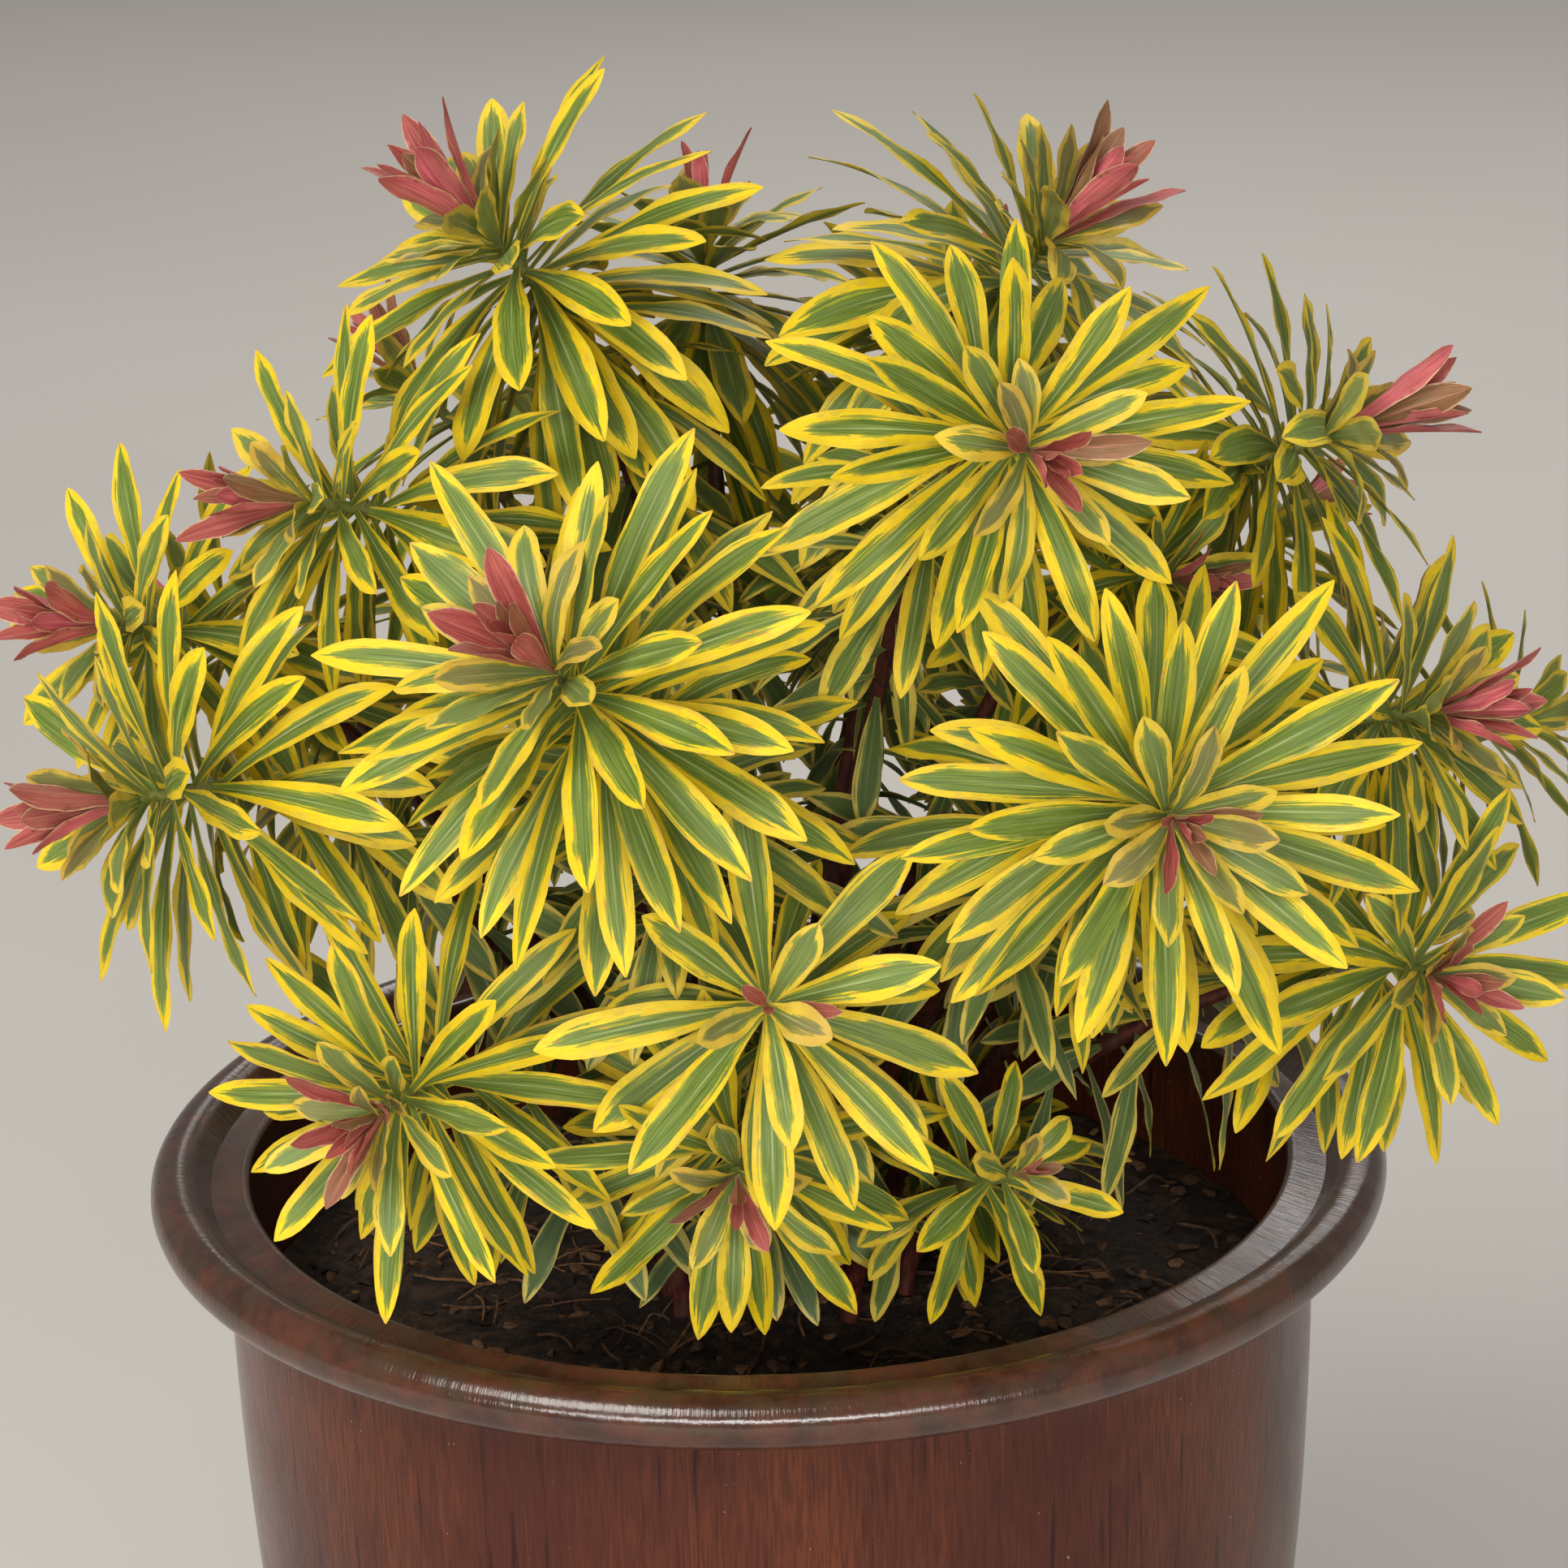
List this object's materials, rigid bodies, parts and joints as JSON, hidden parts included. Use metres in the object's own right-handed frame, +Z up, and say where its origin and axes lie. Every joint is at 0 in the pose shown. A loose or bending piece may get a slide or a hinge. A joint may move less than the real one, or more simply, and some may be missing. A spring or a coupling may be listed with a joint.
{
  "type": "potted euphorbia",
  "caption": "Free-standing glazed pot with a rolled rim, holding soil and a rounded clump of shoots with variegated, whorled narrow leaves.",
  "frame": {"origin": "centre of the pot's flat underside, which rests on the ground", "axes": "+Z up along the pot's axis; -Y is the side seen first"},
  "size_m": [0.4456, 0.4156, 0.5854],
  "materials": {
    "glaze": "gloss",
    "soil": "matte",
    "stem": "satin",
    "leaf": "satin",
    "young_leaf": "satin"
  },
  "bodies": {
    "root": {"pot": "glaze", "soil": "soil", "stem_01": "stem", "stem_02": "stem", "stem_03": "stem", "stem_04": "stem", "stem_05": "stem", "stem_06": "stem", "stem_07": "stem", "stem_08": "stem", "stem_09": "stem", "stem_10": "stem", "stem_11": "stem", "stem_12": "stem", "stem_13": "stem", "stem_14": "stem", "stem_15": "stem", "stem_16": "stem", "stem_17": "stem", "stem_18": "stem", "stem_19": "stem", "stem_20": "stem", "stem_21": "stem", "stem_22": "stem", "stem_23": "stem", "stem_24": "stem", "stem_25": "stem", "stem_26": "stem", "stem_27": "stem", "stem_28": "stem", "leaves_01": "leaf", "leaves_02": "leaf", "leaves_03": "leaf", "leaves_04": "leaf", "leaves_05": "leaf", "leaves_06": "leaf", "leaves_07": "leaf", "leaves_08": "leaf", "leaves_09": "leaf", "leaves_10": "leaf", "leaves_11": "leaf", "leaves_12": "leaf", "leaves_13": "leaf", "leaves_14": "leaf", "leaves_15": "leaf", "leaves_16": "leaf", "leaves_17": "leaf", "leaves_18": "leaf", "leaves_19": "leaf", "leaves_20": "leaf", "leaves_21": "leaf", "leaves_22": "leaf", "leaves_23": "leaf", "leaves_24": "leaf", "leaves_25": "leaf", "leaves_26": "leaf", "leaves_27": "leaf", "leaves_28": "leaf"}
  },
  "joints": []
}
